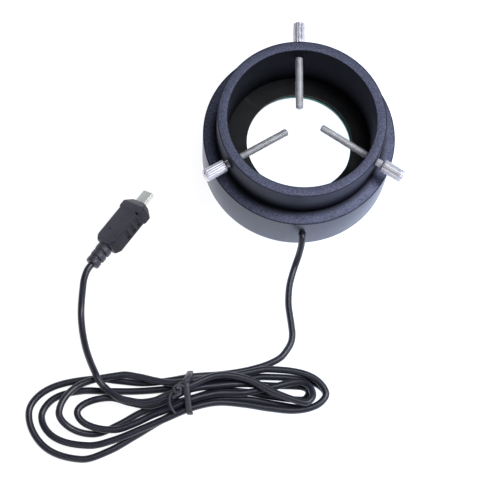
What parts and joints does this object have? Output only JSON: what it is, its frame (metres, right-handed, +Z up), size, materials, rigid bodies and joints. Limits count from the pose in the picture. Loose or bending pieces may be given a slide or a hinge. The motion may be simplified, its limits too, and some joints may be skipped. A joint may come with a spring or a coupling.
{
  "type": "microscope ring light",
  "caption": "Ring light for a microscope: turned flange and collar with clamping thumbscrews, diode rows behind a clear ring, and a tied cord with a small plug.",
  "frame": {"origin": "centre of the bottom of the box round the housing and its screws, on the plane that the flange rests on", "axes": "+Z up along the ring's axis, from the flange to the collar; +Y towards the back thumbscrew; the cord leaves towards -Y"},
  "size_m": [0.1746, 0.2364, 0.0485],
  "materials": {
    "anodised": "satin black anodised, turned",
    "moulded": "matt black",
    "board": "solder resist",
    "diode": "water clear",
    "resistor": "lacquered",
    "brass": "nickel plated",
    "zinc": "zinc plated",
    "nickel": "bright nickel plated",
    "clear": "clear acrylic",
    "nylon": "natural",
    "red": "insulation",
    "black": "insulation",
    "jacket": "satin dark grey jacket",
    "plug": "satin moulded",
    "shell": "bright plated",
    "tie": "matt grey"
  },
  "bodies": {
    "lamp": {"board_resistor_1": "resistor", "board_resistor_2": "resistor", "board_resistor_3": "resistor", "board_resistor_4": "resistor", "board_spacer_1": "brass", "board_spacer_2": "brass", "board_spacer_3": "brass", "board_spacer_4": "brass", "bore_floor": "moulded", "cord_hank": "jacket", "cord_jacket_end": "jacket", "cord_lead": "jacket", "cord_stop": "nylon", "cord_tail": "jacket", "front_window": "clear", "hank_tie": "tie", "housing": "anodised", "inner_shade": "moulded", "led_board": "board", "leds_inner_row": "diode", "leds_outer_row": "diode", "plug_overmould": "plug", "plug_shell": "shell", "plug_tongue": "moulded", "window_screw_1": "zinc", "window_screw_2": "zinc", "window_screw_3": "zinc", "window_screw_4": "zinc", "wire_black": "black", "wire_red": "red"},
    "stud_back": {"screw_stud_back": "nickel"},
    "head_back": {"screw_head_back": "nickel"},
    "stud_left": {"screw_stud_left": "nickel"},
    "head_left": {"screw_head_left": "nickel"},
    "stud_right": {"screw_stud_right": "nickel"},
    "head_right": {"screw_head_right": "nickel"}
  },
  "joints": [
    {"name": "screw_travel_back", "type": "slide", "parent": "lamp", "child": "stud_back", "axis": [-0.1028, 0.9947, 0], "range_m": [-0.00266, 0.028]},
    {"name": "screw_turn_back", "type": "hinge", "parent": "stud_back", "child": "head_back", "pos_m": [-0.00777, 0.03872, 0.039], "axis": [-0.1028, 0.9947, 0], "range_deg": [-1383, 14415]},
    {"name": "screw_travel_left", "type": "slide", "parent": "lamp", "child": "stud_left", "axis": [-0.7934, -0.6088, 0], "range_m": [-0.00139, 0.028]},
    {"name": "screw_turn_left", "type": "hinge", "parent": "stud_left", "child": "head_left", "pos_m": [-0.03713, -0.02995, 0.039], "axis": [-0.7934, -0.6088, 0], "range_deg": [-729.9, 14415]},
    {"name": "screw_travel_right", "type": "slide", "parent": "lamp", "child": "stud_right", "axis": [0.891, -0.454, 0], "range_m": [-0.00297, 0.028]},
    {"name": "screw_turn_right", "type": "hinge", "parent": "stud_right", "child": "head_right", "pos_m": [0.03768, -0.01924, 0.039], "axis": [0.891, -0.454, 0], "range_deg": [-1542.4, 14415]}
  ],
  "couplings": [
    {"joint": "screw_turn_back", "follows": "screw_travel_back", "rad_per_m": 8976},
    {"joint": "screw_turn_left", "follows": "screw_travel_left", "rad_per_m": 8976},
    {"joint": "screw_turn_right", "follows": "screw_travel_right", "rad_per_m": 8976}
  ]
}
